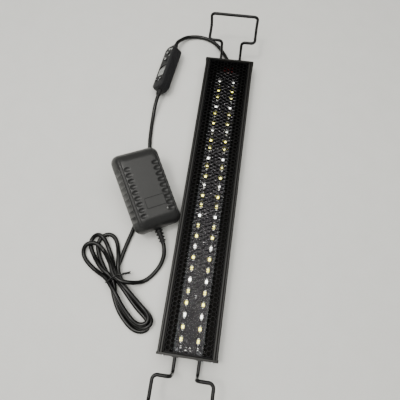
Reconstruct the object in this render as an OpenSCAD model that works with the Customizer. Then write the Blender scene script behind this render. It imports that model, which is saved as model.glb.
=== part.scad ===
// LED aquarium light with sliding wire brackets, in-line controller and plug-in power adapter.
// The light lies on its back: +Z is the way it shines, +Y runs along the bar to the lead end.
// The origin is under the middle of the bar.

/* [Body] */
// Width of the extruded housing
body_w = 51; // [48:0.5:60]
// Height of the housing
body_h = 16; // [15.5:0.5:18]
// Length of the extruded housing, without its end plates
body_l = 300; // [290:5:340]
// Thickness of each end plate
plate_t = 2; // [1.5:0.5:3]
// How far an end plate stands out past each side of the housing
plate_lip = 0.7; // [0.2:0.1:1.5]
// Width of each raised side rim
rim_w = 4.4; // [4:0.2:5]
// Thickness of the back cover
cover_t = 1.4; // [1:0.2:1.8]

/* [Light board] */
// Width of the circuit board
board_w = 25; // [23:0.5:26]
// Number of LED places along the board
led_columns = 27; // [12:1:28]
// Distance between LED places along the board
led_pitch = 10.1; // [9:0.1:10.2]
// Distance between the two rows of LEDs
row_gap = 15; // [12:0.5:17]
// Length of one LED package
led_l = 3.5; // [3:0.1:5]
// Width of one LED package
led_w = 2.8; // [2.4:0.1:5]

/* [Louver] */
// Distance between neighbouring cells of the honeycomb
cell_pitch = 8; // [6:1:12]
// Thickness of the walls between cells
cell_wall = 0.8; // [0.6:0.1:1.2]
// Depth of the louver
louver_h = 3.2; // [2.5:0.1:3.5]

/* [Brackets] */
// Diameter of the bracket wire
wire_d = 3; // [2.5:0.1:3.2]
// Centreline radius of every bend in the wire
wire_bend = 4; // [3.5:0.5:5]
// Distance between the two legs of a bracket
leg_gap = 21.2; // [20:0.2:22]
// Distance between the two arms of a bracket
arm_gap = 48.8; // [40:0.2:52]
// Length of leg between an end plate and the upright
leg_out = 14; // [14:0.5:20]
// Length of leg kept inside the housing
leg_in = 86; // [84:1:100]
// Height of the arms that lie on the tank rim
arm_z = 27.4; // [24:0.2:32]
// Length of the arms
arm_l = 19.7; // [16:0.1:30]
// Height of the hook's crossbar
hook_z = 43.6; // [40:0.2:50]

/* [Leads] */
// Diameter of the round lead
lead_d = 4; // [3:0.5:5]
// Height of the tied hank of lead
hank_h = 11; // [8:0.5:12]

/* [Controller] */
// Width of the controller
ctl_w = 16; // [14:0.5:20]
// Length of the controller
ctl_l = 56; // [52:1:70]
// Thickness of the controller
ctl_h = 12; // [11:0.5:14]
// Wall of the controller's case
ctl_wall = 1.2; // [1:0.1:1.6]
// Diameter of the larger buttons
button_d = 4.4; // [4:0.1:5]
// How far a button travels
button_travel = 0.7; // [0.4:0.1:1]

/* [Power adapter] */
// Width of the adapter
adp_w = 45.6; // [42:0.2:50]
// Length of the adapter
adp_l = 76; // [72:1:85]
// Height of the upper case half above the parting line
adp_top = 13.5; // [12:0.5:16]
// Depth of the lower case half below the parting line
adp_bottom = 12; // [10:0.5:14]
// Wall of the adapter's case
adp_wall = 2; // [1.6:0.2:2.6]
// Number of grip flutes along each side
flutes = 9; // [5:1:10]

/* [Hidden] */
$fn = 32;
eps = 0.01;

// Levels across the housing, from the back up
wire_z = 6;
web_z = 8.6;
web_t = 1;
board_z = web_z + web_t;
board_t = 1;
led_z = board_z + board_t;
led_h = 0.6;
lens_z = board_z + 1.8;
lens_t = 0.8;
louver_z = lens_z + lens_t;
wall_t = 1.8;
trough_w = body_w - 2 * rim_w;
ledge = 0.8;

// Places along the bar
half_l = body_l / 2;
plate_y = half_l + plate_t;
board_y0 = 0.5 - half_l;
board_y1 = half_l - 10;
first_led_y = 12 - half_l;
lens_y1 = half_l - 16;
slot_l = 6;

// Wire brackets: legs slide in guides that sit in the end plates
guide_bore = wire_d + 0.1;
guide_d = wire_d + 2;
upright_y = plate_y + leg_out;
hook_y = upright_y + arm_l;
ring_l = 4;
rib_t = 1.2;
channel_w = 6;

// Screws
m2_d = 1.8;
m2_bore = 2;
boss_x = body_w / 2 - 4.2;
boss_z = 4.8;

// Gland
gland_x = -3;
gland_z = 5;
gland_l = 6;

// Controller: its centre, how it is turned on the table, and how it lies over on its long side
ctl_pos = [-67, 135, 9.7];
ctl_turn = -7;
ctl_lean = -43;
ctl_chamfer = 4;
ctl_window = [10.6, 13.4];
ctl_window_y = -6;
relief_l = 6;
// Buttons: place on the face and diameter
power_at = [0, 9.5];
mode_at = [0, 18];
minus_at = [-3.4, -17.5];
plus_at = [3.4, -17.5];
small_d = 3.4;

// Adapter: it rests on its near right edge and on the tip of one blade
adp_pos = [-60, -13, 23.5];
adp_turn = 29;
adp_pitch = 14;
adp_lean = 16;
adp_corner = 9;
blade = [1.5, 6.3, 16];
blade_gap = 12.7;
blade_y = 22;
flute_pitch = 6.4;
adp_relief_x = -1;
adp_relief_z = -3.4;
adp_relief_l = 14;
label_size = [22, 12];
label_y = -17;

// Routes of the leads along their centrelines, laid on the table
light_route = [[-3, 158, 5], [-3.6, 161.5, 4.2], [-5.6, 166, 2.8], [-9, 171.5, 2.1],
               [-13.5, 177.5, 2.1], [-19.5, 183.5, 2.1], [-26, 187.5, 2.1], [-33.5, 190, 2.1],
               [-41, 190.5, 2.3], [-48.5, 189, 3], [-54.5, 185.5, 4.5], [-59, 180, 6.5],
               [-61.8, 174.5, 8.6], [-62.9, 168.8, 9.7]];
supply_route = [[-71.1, 101.3, 9.7], [-71.8, 95.5, 8.8], [-72.6, 89, 6.4], [-73.2, 82, 3.6],
                [-73.3, 74.5, 2.3], [-72.6, 62.5, 2.1], [-71, 46, 2.1], [-67, 26, 2.1],
                [-64.5, 6, 2.1], [-65, -16, 2.1], [-67.5, -36, 2.1], [-70, -50, 2.1],
                [-72.2, -60, 2.1], [-73.8, -69, 2.1], [-75, -78, 2.1]];
adapter_route = [[-67.5, -98.4, 3.4], [-64, -98, 2.6], [-56, -97.2, 2.1], [-47.2, -92.4, 2.1],
                 [-41, -84.5, 2.2], [-37.8, -79.2, 2.7], [-35.8, -73.5, 3.8], [-35, -67, 5.4],
                 [-35.8, -61.5, 6.9], [-37.5, -57.4, 8]];

// Tied hank: round-ended lobes on each side of the tie, as [x, y, radius]
upper_lobe = [[-102.5, -74.5, 10], [-100, -66.5, 9.5], [-91, -63, 9], [-80.5, -84, 7.5],
              [-86, -92.5, 5]];
lower_lobe = [[-74, -104, 6.5], [-60.5, -118.5, 10.5], [-45.5, -128.5, 10]];
tie_at = [-76.7, -95.3];
tie_turn = -143;
waist_w = 14;
waist_l = 18;
waist_z = 1.4;
tie_t = 1;
tie_w = 3.4;
tie_gap = 0.3;

// ---- shared shapes ----

// Places children in a frame given by its three axes and its origin
module place(x, y, z, o) {
    multmatrix([[x[0], y[0], z[0], o[0]],
                [x[1], y[1], z[1], o[1]],
                [x[2], y[2], z[2], o[2]],
                [0, 0, 0, 1]]) children();
}

module rounded(w, h, r) {
    square([w - 2 * r, h], center = true);
    square([w, h - 2 * r], center = true);
    for (x = [-1, 1]) for (y = [-1, 1])
        translate([x * (w / 2 - r), y * (h / 2 - r)]) circle(r);
}

// A profile drawn across the bar (x, z), swept from y0 to y1
module sweep_y(y0, y1) {
    translate([0, y1, 0]) rotate([90, 0, 0]) linear_extrude(y1 - y0) children();
}

module rod(a, b, r) {
    d = (b - a) / norm(b - a);
    side = abs(d[2]) > 0.9 ? [1, 0, 0] : [0, 0, 1];
    place(side, cross(d, side), d, a) cylinder(r = r, h = norm(b - a));
}

// Round rod through square corners, each bent to the same radius
module bent_rod(points, bend, r) {
    last = len(points) - 1;
    dirs = [for (i = [0 : last - 1])
        (points[i + 1] - points[i]) / norm(points[i + 1] - points[i])];
    for (i = [0 : last - 1])
        rod(points[i] + (i == 0 ? 0 : bend) * dirs[i],
            points[i + 1] - (i == last - 1 ? 0 : bend) * dirs[i], r);
    for (i = [1 : last - 1]) {
        u = dirs[i - 1];
        v = dirs[i];
        place(-v, u, cross(u, v), points[i] - bend * u + bend * v)
            rotate_extrude(angle = 90) translate([bend, 0]) circle(r);
    }
}

module pan_screw(d, l, head_d, head_h) {
    translate([0, 0, -l]) cylinder(d = d, h = l);
    difference() {
        cylinder(d = head_d, h = head_h);
        for (a = [0, 90]) rotate(a)
            translate([-head_d * 0.3, -0.25, head_h / 2]) cube([head_d * 0.6, 0.5, head_h]);
    }
}

// Point on a smooth curve between p1 and p2
function between(p0, p1, p2, p3, t) =
    0.5 * (2 * p1 + (p2 - p0) * t + (2 * p0 - 5 * p1 + 4 * p2 - p3) * t * t
           + (3 * p1 - p0 - 3 * p2 + p3) * t * t * t);

function smooth_route(p, steps) =
    [for (i = [0 : len(p) - 2]) for (k = [0 : steps - 1])
        between(p[max(i - 1, 0)], p[i], p[i + 1], p[min(i + 2, len(p) - 1)], k / steps),
     p[len(p) - 1]];

function ring(c, t, r, sides) =
    let (side = cross(t, [0, 0, 1]) / norm(cross(t, [0, 0, 1])), up = cross(side, t))
    [for (k = [0 : sides - 1]) c + r * (cos(360 * k / sides) * side + sin(360 * k / sides) * up)];

// Round tube along a route
module tube(route, d, steps = 2, sides = 8) {
    p = smooth_route(route, steps);
    n = len(p);
    points = [for (i = [0 : n - 1])
        let (t = p[min(i + 1, n - 1)] - p[max(i - 1, 0)])
        each ring(p[i], t / norm(t), d / 2, sides)];
    start = [for (k = [0 : sides - 1]) k];
    end = [for (k = [sides - 1 : -1 : 0]) (n - 1) * sides + k];
    walls = [for (i = [0 : n - 2]) for (k = [0 : sides - 1])
        let (a = i * sides + k, b = i * sides + (k + 1) % sides)
        each [[a, a + sides, b], [b, a + sides, b + sides]]];
    polyhedron(points, concat([start, end], walls));
}

// ---- housing ----

module rim_profile() {
    groove = 1;
    difference() {
        union() {
            translate([trough_w / 2, web_z]) square([rim_w, body_h - web_z - 0.5]);
            for (x = [trough_w / 2 + 0.9, body_w / 2 - 0.9])
                translate([x, body_h - 0.9]) circle(0.9);
            translate([trough_w / 2 + 0.9, body_h - 0.9]) square([rim_w - 1.8, 0.9]);
        }
        translate([trough_w / 2 + rim_w / 2 - groove / 2, body_h - 1.2]) square([groove, 2]);
        translate([trough_w / 2 + 1.2, web_z + web_t]) square([1.4, 4]);
    }
}

module housing_profile() {
    for (side = [0, 1]) mirror([side, 0]) {
        rim_profile();
        // outer wall
        translate([body_w / 2 - wall_t, 0]) square([wall_t, web_z + web_t]);
        // screw boss in the corner
        translate([boss_x - 2.6, cover_t]) square([body_w / 2 - boss_x + 2, web_z - cover_t]);
        // ribs on each side of a leg channel
        for (x = [leg_gap / 2 - channel_w / 2 - rib_t, leg_gap / 2 + channel_w / 2])
            translate([x, cover_t]) square([rib_t, web_z - cover_t]);
        // ledges that carry the lens and the louver
        translate([board_w / 2 + 0.7, web_z]) square([ledge, lens_z - web_z]);
        translate([trough_w / 2 - ledge, lens_z]) square([ledge + eps, lens_t]);
    }
    translate([-trough_w / 2, web_z]) square([trough_w, web_t]);
}

module at_bosses() {
    for (x = [-1, 1]) for (y = [-1, 1])
        translate([x * boss_x, y * plate_y, boss_z]) rotate([y > 0 ? -90 : 90, 0, 0]) children();
}

module at_board_screws() {
    for (x = [-9, 9]) for (y = [board_y0 + 2.6, board_y1 - 7])
        translate([x, y, led_z]) children();
}

module at_cover_screws() {
    for (x = [-boss_x, boss_x]) for (y = [-100, 0, 100])
        translate([x, y, 0]) rotate([180, 0, 0]) children();
}

module housing() {
    color("#1b1b1c") difference() {
        sweep_y(-half_l, half_l) housing_profile();
        at_bosses() translate([0, 0, -12]) cylinder(d = m2_bore, h = 11);
        at_board_screws() translate([0, 0, -4]) cylinder(d = m2_bore, h = 4);
        at_cover_screws() translate([0, 0, -7]) cylinder(d = m2_bore, h = 6);
        // slot that lets the leads up to the board
        translate([-5, board_y1 + 1, web_z - 1]) cube([10, slot_l, 3]);
    }
}

module back_cover() {
    color("#242425") difference() {
        translate([-body_w / 2 + wall_t + 0.2, -half_l, 0])
            cube([body_w - 2 * wall_t - 0.4, body_l, cover_t]);
        at_cover_screws() {
            translate([0, 0, -5]) cylinder(d = 2.4, h = 6);
            translate([0, 0, -0.8]) cylinder(d = 4.2, h = 1);
        }
    }
}

module cover_screws() {
    color("silver") at_cover_screws() translate([0, 0, -0.75]) pan_screw(m2_d, 5, 3.8, 0.7);
}

module end_plate(holes_x) {
    difference() {
        translate([0, 0, body_h / 2 + 0.2]) rotate([90, 0, 0])
            linear_extrude(plate_t) rounded(body_w + 2 * plate_lip, body_h + 0.4, 1.4);
        for (x = [-1, 1]) translate([x * leg_gap / 2, 1, wire_z])
            rotate([90, 0, 0]) cylinder(d = guide_d + 0.08, h = plate_t + 2);
        for (x = [-1, 1]) translate([x * boss_x, 1, boss_z])
            rotate([90, 0, 0]) cylinder(d = 2.3, h = plate_t + 2);
        for (x = holes_x) translate([x, 1, gland_z])
            rotate([90, 0, 0]) cylinder(d = lead_d + 1.6, h = plate_t + 2);
    }
}

module end_plate_near() {
    color("#1a1a1b") translate([0, -half_l, 0]) end_plate([]);
}

module end_plate_far() {
    color("#1a1a1b") translate([0, plate_y, 0]) end_plate([gland_x]);
}

module end_plate_screws() {
    color("#2a2a2a") at_bosses() pan_screw(m2_d, 9, 3.8, 1.2);
}

// ---- light board ----

module at_leds(white) {
    for (k = [0 : led_columns - 1])
        if ((k % 3 == 2) == white)
            for (x = [-row_gap / 2, row_gap / 2])
                translate([x, first_led_y + k * led_pitch, led_z]) children();
}

module led_package() {
    difference() {
        translate([-led_w / 2, -led_l / 2, 0]) cube([led_w, led_l, led_h]);
        translate([-led_w / 2 + 0.35, -led_l / 2 + 0.35, led_h - 0.2])
            cube([led_w - 0.7, led_l - 0.7, 1]);
    }
}

module led_fill() {
    translate([-led_w / 2 + 0.4, -led_l / 2 + 0.4, led_h - 0.19])
        cube([led_w - 0.8, led_l - 0.8, 0.15]);
}

module led_board() {
    color("#2b2d2f") difference() {
        translate([-board_w / 2, board_y0, board_z])
            cube([board_w, board_y1 - board_y0, board_t]);
        at_board_screws() translate([0, 0, -4]) cylinder(d = 2.2, h = 5);
    }
}

module board_screws() {
    color("silver") at_board_screws() pan_screw(m2_d, 1.8, 3.6, 0.7);
}

module warm_leds() {
    color("#e8e2cf") at_leds(false) led_package();
}

module warm_phosphor() {
    color("#e6b93c") at_leds(false) led_fill();
}

module white_leds() {
    color("#eeeeea") at_leds(true) led_package();
}

module white_windows() {
    color("#f4f4f0") at_leds(true) led_fill();
}

module chip_resistors() {
    color("#1a1a1a") for (k = [3.6 : 4.8 : led_columns - 3])
        translate([-0.7, first_led_y + k * led_pitch - 1.1, led_z]) cube([1.4, 2.2, 0.5]);
}

module board_parts() {
    color("#151515") {
        for (x = [-6.9, 7.8]) translate([x - 0.6, board_y0 + 4.5, led_z]) cube([1.2, 2, 0.5]);
        for (x = [-2.2, 1.6]) translate([x - 0.8, board_y0 + 3, led_z]) cube([1.6, 2.8, 0.7]);
    }
}

module solder_joints() {
    color("silver") for (x = [-4, 0, 4])
        translate([x - 1.2, board_y1 - 3.4, led_z]) cube([2.4, 3, 0.15]);
}

module inner_leads() {
    top = led_z + 0.85;
    color("firebrick") for (x = [-4, 0, 4])
        bent_rod([[x, half_l - 1, gland_z], [x, board_y1 + 4, gland_z], [x, board_y1 + 4, top],
                  [x, board_y1 - 3, top]], 1.2, 0.65);
}

module lens() {
    color("#dfe8ea", 0.4) translate([-board_w / 2 - 1.4, board_y0, lens_z])
        cube([board_w + 2.8, lens_y1 - board_y0, lens_t]);
}

module louver() {
    w = trough_w - 0.4;
    l = body_l - 1;
    step_x = cell_pitch * sqrt(3) / 2;
    across = floor((w - cell_pitch) / step_x / 2);
    along = floor((l - 2 * cell_pitch) / cell_pitch / 2);
    color("#0c0c0d") translate([0, 0, louver_z]) linear_extrude(louver_h) difference() {
        square([w, l], center = true);
        for (i = [-across : across]) for (k = [-along : along])
            translate([i * step_x, (k + (i % 2 == 0 ? 0 : 0.5)) * cell_pitch])
                circle(r = (cell_pitch - cell_wall) / sqrt(3), $fn = 6);
    }
}

// ---- brackets ----

// One bracket, drawn for the far end
module bracket_wire() {
    points = [[leg_gap / 2, plate_y - leg_in, wire_z], [leg_gap / 2, upright_y, wire_z],
              [leg_gap / 2, upright_y, arm_z], [arm_gap / 2, upright_y, arm_z],
              [arm_gap / 2, hook_y, arm_z], [arm_gap / 2, hook_y, hook_z],
              [0, hook_y, hook_z]];
    for (side = [0, 1]) mirror([side, 0, 0]) bent_rod(points, wire_bend, wire_d / 2);
}

module leg_ring(inner_d, outer_d, y0, y1) {
    for (x = [-leg_gap / 2, leg_gap / 2])
        translate([x, y1, wire_z]) rotate([90, 0, 0]) difference() {
            cylinder(d = outer_d, h = y1 - y0);
            translate([0, 0, -1]) cylinder(d = inner_d, h = y1 - y0 + 2);
        }
}

// Collars that stop a bracket from being pulled right out
module stop_rings() {
    leg_ring(wire_d + 0.04, wire_d + 1.6, plate_y - leg_in + 1, plate_y - leg_in + 1 + ring_l);
}

// Bushes in an end plate, each with a collar outside
module leg_guides() {
    leg_ring(guide_bore, guide_d, half_l, plate_y);
    leg_ring(guide_bore, guide_d + 1, plate_y, plate_y + 1);
}

module bracket_near() {
    color("#171718") mirror([0, 1, 0]) bracket_wire();
}

module bracket_far() {
    color("#171718") bracket_wire();
}

module stop_rings_near() {
    color("dimgray") mirror([0, 1, 0]) stop_rings();
}

module stop_rings_far() {
    color("dimgray") stop_rings();
}

module leg_guides_near() {
    color("#222222") mirror([0, 1, 0]) leg_guides();
}

module leg_guides_far() {
    color("#222222") leg_guides();
}

// ---- leads ----

module cable_gland() {
    color("#202020") translate([gland_x, plate_y + gland_l, gland_z]) rotate([90, 0, 0]) {
        cylinder(d1 = lead_d + 1.6, d2 = lead_d + 3, h = gland_l - 1.5);
        translate([0, 0, gland_l - 1.5]) cylinder(d = lead_d + 4, h = 1.5);
        translate([0, 0, gland_l]) cylinder(d = lead_d + 1.5, h = plate_t);
    }
}

module light_lead() {
    color("#161616") tube(light_route, lead_d);
}

module supply_lead() {
    color("#161616") tube(supply_route, lead_d);
}

module adapter_lead() {
    color("#161616") tube(adapter_route, lead_d);
}

module lobe(circles) {
    hull() for (c = circles) translate([c[0], c[1]]) circle(c[2]);
}

module at_tie() {
    translate([tie_at[0], tie_at[1], 0]) rotate(tie_turn) children();
}

module hank() {
    color("#181818") {
        linear_extrude(hank_h) lobe(upper_lobe);
        linear_extrude(hank_h) lobe(lower_lobe);
        at_tie() translate([-waist_w / 2, -waist_l / 2, waist_z])
            cube([waist_w, waist_l, hank_h - waist_z]);
    }
}

module twist_tie() {
    middle = (waist_z + hank_h) / 2;
    inner = [waist_w + 2 * tie_gap, hank_h - waist_z + 2 * tie_gap];
    color("#0f0f0f") at_tie() {
        translate([0, tie_w / 2, middle]) rotate([90, 0, 0]) linear_extrude(tie_w) difference() {
            rounded(inner[0] + 2 * tie_t, inner[1] + 2 * tie_t, 1.5);
            square(inner, center = true);
        }
        // twisted tail, standing off to the adapter's side
        translate([-waist_w / 2 - tie_t, 0, hank_h]) rotate([0, -80, 20])
            cylinder(d = 1.8, h = 9);
    }
}

// ---- controller ----

module at_controller() {
    translate(ctl_pos) rotate([0, 0, ctl_turn]) rotate([0, ctl_lean, 0]) children();
}

module controller_outline(inset) {
    w = ctl_w / 2 - inset;
    l = ctl_l / 2 - inset;
    c = ctl_chamfer - inset * 0.6;
    polygon([[-w, -l + c], [-w + c, -l], [w - c, -l], [w, -l + c],
             [w, l - c], [w - c, l], [-w + c, l], [-w, l - c]]);
}

// Half of the case, open at the parting line, closed at z = height
module controller_shell(height) {
    edge = 1;
    difference() {
        union() {
            linear_extrude(height - edge) controller_outline(0);
            translate([0, 0, height - edge - eps])
                linear_extrude(edge + eps) controller_outline(0.8);
        }
        translate([0, 0, -1]) linear_extrude(height - ctl_wall + 1) controller_outline(ctl_wall);
        for (y = [-1, 1]) translate([0, y * (ctl_l / 2 + 1), 0])
            rotate([90 * y, 0, 0]) cylinder(d = lead_d + 0.6, h = ctl_wall + 2);
    }
}

module at_button(place_on_face) {
    translate([place_on_face[0], place_on_face[1], ctl_h / 2]) children();
}

module controller_top() {
    color("#1d1d1f") at_controller() difference() {
        controller_shell(ctl_h / 2);
        translate([-ctl_window[0] / 2, ctl_window_y - ctl_window[1] / 2, ctl_h / 2 - 0.9])
            cube([ctl_window[0], ctl_window[1], 2]);
        translate([-ctl_window[0] / 2 + 1, ctl_window_y - ctl_window[1] / 2 + 1, 1])
            cube([ctl_window[0] - 2, ctl_window[1] - 2, ctl_h]);
        for (b = [power_at, mode_at])
            at_button(b) translate([0, 0, -3]) cylinder(d = button_d + 0.2, h = 4);
        for (b = [minus_at, plus_at])
            at_button(b) translate([0, 0, -3]) cylinder(d = small_d + 0.2, h = 4);
    }
}

module controller_bottom() {
    color("#1d1d1f") at_controller() difference() {
        union() {
            mirror([0, 0, 1]) controller_shell(ctl_h / 2);
            for (y = [-1, 1]) translate([0, y * 22.5, -ctl_h / 2 + 0.5])
                cylinder(d = 4, h = ctl_h / 2 - 2.2);
        }
        for (y = [-1, 1]) translate([0, y * 22.5, -ctl_h / 2 - 1]) {
            cylinder(d = m2_bore, h = ctl_h / 2 + 1);
            cylinder(d = 4.2, h = 1.9);
        }
    }
}

module controller_screws() {
    color("silver") at_controller() for (y = [-1, 1])
        translate([0, y * 22.5, -ctl_h / 2 + 0.85]) rotate([180, 0, 0])
            pan_screw(m2_d, 3, 3.8, 0.8);
}

module controller_window() {
    color("#aeb6b2") at_controller()
        translate([0, ctl_window_y, ctl_h / 2 - 0.88]) linear_extrude(0.8)
            rounded(ctl_window[0] - 0.2, ctl_window[1] - 0.2, 0.6);
}

module controller_display() {
    color("#8d9994") at_controller() {
        translate([-4.2, ctl_window_y - 5.6, 1.4]) cube([8.4, 11.2, 3.2]);
        translate([-5, ctl_window_y - 6.6, 0.4]) cube([10, 13.2, 1]);
    }
}

module controller_board() {
    color("darkgreen") at_controller() difference() {
        translate([-6, -24, -0.8]) cube([12, 48, 1.2]);
        for (y = [-1, 1]) translate([0, y * 22.5, -2]) cylinder(d = 2.2, h = 4);
    }
}

// Button with a flange inside the case; it stands proud by its travel plus a little
module button(place_on_face, d) {
    color("#3a3a3c") at_controller() at_button(place_on_face) {
        translate([0, 0, -ctl_wall - 0.1]) cylinder(d = d, h = ctl_wall + button_travel + 0.3);
        translate([0, 0, -ctl_wall - 0.7]) cylinder(d = d + 1, h = 0.6);
        translate([0, 0, -ctl_h / 2 + 0.6 + button_travel]) cylinder(d = 1.6, h = 4);
    }
}

module button_power() { button(power_at, button_d); }
module button_mode() { button(mode_at, button_d); }
module button_minus() { button(minus_at, small_d); }
module button_plus() { button(plus_at, small_d); }

// Tapered sleeve at one end of the controller
module controller_relief(side) {
    color("#181818") at_controller() translate([0, side * ctl_l / 2, 0])
        rotate([-90 * side, 0, 0]) {
            translate([0, 0, -ctl_wall - 1]) cylinder(d = lead_d + 0.5, h = ctl_wall + 1);
            cylinder(d1 = lead_d + 2.4, d2 = lead_d + 1, h = relief_l);
        }
}

module controller_relief_light() { controller_relief(1); }
module controller_relief_supply() { controller_relief(-1); }

// ---- power adapter ----

module at_adapter() {
    translate(adp_pos) rotate([0, 0, adp_turn]) rotate([adp_pitch, 0, 0])
        rotate([0, adp_lean, 0]) children();
}

module slab(w, l, r, z) {
    translate([0, 0, z]) linear_extrude(0.02) rounded(w, l, r);
}

// Crowned upper block; inset shrinks it for the inside of the shell
module adapter_crown(inset) {
    d = 2 * inset;
    hull() {
        slab(adp_w - d, adp_l - d, adp_corner - inset, 0);
        slab(adp_w - 2 - d, adp_l - 3 - d, adp_corner - inset, 5);
        slab(adp_w - 6 - d, adp_l - 9 - d, adp_corner - inset, 9.5);
        slab(adp_w - 14 - d, adp_l - 21 - d, adp_corner - 1 - inset, adp_top - 0.02 - inset);
    }
}

module adapter_tub(inset) {
    d = 2 * inset;
    hull() {
        slab(adp_w - d, adp_l - d, adp_corner - inset, -0.02);
        slab(adp_w - 3 - d, adp_l - 3 - d, adp_corner - inset, -adp_bottom + 2.5 + inset);
        slab(adp_w - 7 - d, adp_l - 7 - d, adp_corner - inset, -adp_bottom + inset);
    }
}

module adapter_case_top() {
    lean = atan2(7, adp_top);
    color("#2e2f30") at_adapter() difference() {
        adapter_crown(0);
        difference() {
            adapter_crown(adp_wall);
            translate([0, 0, -50]) cube([200, 200, 100 - 2 * eps], center = true);
        }
        translate([0, 0, -eps]) linear_extrude(0.1)
            rounded(adp_w - 2 * adp_wall, adp_l - 2 * adp_wall, adp_corner - adp_wall);
        for (side = [-1, 1]) for (k = [0 : flutes - 1])
            translate([side * (adp_w / 2 + 0.9), (k - (flutes - 1) / 2) * flute_pitch, -1])
                rotate([0, -side * lean, 0]) cylinder(r = 2.1, h = adp_top + 4);
        translate([0, label_y, adp_top - 0.6]) linear_extrude(2)
            rounded(label_size[0], label_size[1], 0.8);
    }
}

module adapter_case_bottom() {
    color("#28292a") at_adapter() difference() {
        adapter_tub(0);
        adapter_tub(adp_wall);
        translate([0, 0, -0.1]) linear_extrude(0.2)
            rounded(adp_w - 2 * adp_wall, adp_l - 2 * adp_wall, adp_corner - adp_wall);
        for (x = [-1, 1]) translate([x * blade_gap / 2 - blade[0] / 2 - 0.05,
                                     blade_y - blade[1] / 2 - 0.05, -adp_bottom - 1])
            cube([blade[0] + 0.1, blade[1] + 0.1, adp_wall + 2]);
        translate([adp_relief_x, -adp_l / 2 - 1, adp_relief_z]) rotate([-90, 0, 0])
            cylinder(d = lead_d + 1.6, h = 6);
    }
}

module adapter_label() {
    color("#303132") at_adapter() translate([0, label_y, adp_top - 0.58]) linear_extrude(0.4)
        rounded(label_size[0] - 0.3, label_size[1] - 0.3, 0.7);
}

module adapter_blades() {
    color("gold") at_adapter() for (x = [-1, 1])
        translate([x * blade_gap / 2 - blade[0] / 2, blade_y - blade[1] / 2,
                   -adp_bottom - blade[2]]) difference() {
            cube([blade[0], blade[1], blade[2] + adp_wall + 2]);
            translate([-1, blade[1] / 2, 4]) rotate([0, 90, 0]) cylinder(d = 3, h = blade[0] + 2);
        }
}

module adapter_board() {
    color("darkgreen") at_adapter() translate([-17, -30, -adp_bottom + adp_wall + 2.2])
        cube([34, 46, 1.6]);
}

module adapter_transformer() {
    color("#c9b458") at_adapter() translate([-9, -12, -adp_bottom + adp_wall + 4]) {
        translate([1, 0, 0]) cube([16, 18, 4]);
        translate([2.5, 1.5, 4]) cube([13, 15, 6]);
        translate([1, 0, 10]) cube([16, 18, 3]);
    }
}

module adapter_capacitor() {
    color("#2a3a55") at_adapter() translate([-8, -22, -adp_bottom + adp_wall + 4]) {
        cylinder(d = 10, h = 12);
        translate([17, 0, 0]) cylinder(d = 8, h = 11);
    }
}

// Ribbed sleeve where the lead enters the adapter
module adapter_relief() {
    color("#1c1c1c") at_adapter() translate([adp_relief_x, -adp_l / 2, adp_relief_z])
        rotate([90, 0, 0]) {
            translate([0, 0, -4]) cylinder(d = lead_d + 1.5, h = 4);
            cylinder(d1 = lead_d + 2.2, d2 = lead_d + 0.8, h = adp_relief_l);
            for (k = [0 : 3]) translate([0, 0, 1.2 + k * 3.2])
                cylinder(d = lead_d + 3.4 - k * 0.4, h = 1.6);
        }
}

housing();
back_cover();
cover_screws();
end_plate_near();
end_plate_far();
end_plate_screws();
led_board();
board_screws();
warm_leds();
warm_phosphor();
white_leds();
white_windows();
chip_resistors();
board_parts();
solder_joints();
lens();
louver();
leg_guides_near();
leg_guides_far();
bracket_near();
bracket_far();
stop_rings_near();
stop_rings_far();
cable_gland();
inner_leads();
light_lead();
controller_top();
controller_bottom();
controller_window();
controller_display();
controller_board();
controller_screws();
controller_relief_light();
controller_relief_supply();
button_power();
button_mode();
button_minus();
button_plus();
supply_lead();
hank();
twist_tie();
adapter_lead();
adapter_relief();
adapter_case_top();
adapter_case_bottom();
adapter_label();
adapter_blades();
adapter_board();
adapter_transformer();
adapter_capacitor();
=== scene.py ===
import math
import random

import bmesh
import bpy
import numpy as np
from mathutils import Matrix, Vector

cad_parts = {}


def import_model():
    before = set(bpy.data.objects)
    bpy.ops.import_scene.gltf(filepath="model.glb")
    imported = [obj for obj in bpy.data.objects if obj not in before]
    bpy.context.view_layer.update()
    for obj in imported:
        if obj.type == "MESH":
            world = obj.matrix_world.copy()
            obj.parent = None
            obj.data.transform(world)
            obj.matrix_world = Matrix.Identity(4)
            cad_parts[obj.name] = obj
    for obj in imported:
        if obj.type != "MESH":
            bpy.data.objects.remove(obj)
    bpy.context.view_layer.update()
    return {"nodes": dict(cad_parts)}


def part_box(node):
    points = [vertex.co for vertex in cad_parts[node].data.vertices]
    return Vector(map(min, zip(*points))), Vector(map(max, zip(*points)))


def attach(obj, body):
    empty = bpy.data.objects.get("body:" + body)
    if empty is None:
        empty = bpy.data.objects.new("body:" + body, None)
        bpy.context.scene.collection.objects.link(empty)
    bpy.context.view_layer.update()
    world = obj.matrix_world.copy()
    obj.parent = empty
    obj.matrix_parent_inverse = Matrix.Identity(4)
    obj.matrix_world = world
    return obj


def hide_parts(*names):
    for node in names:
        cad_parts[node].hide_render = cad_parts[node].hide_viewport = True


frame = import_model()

MM = 0.001
LEAD_D = 0.004
LEAD_Z = 0.0021  # height of a lead's centreline where it lies on the table
STEP = 0.0015  # distance between the points of a lead's curve

# ---- routes of the leads ----

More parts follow.
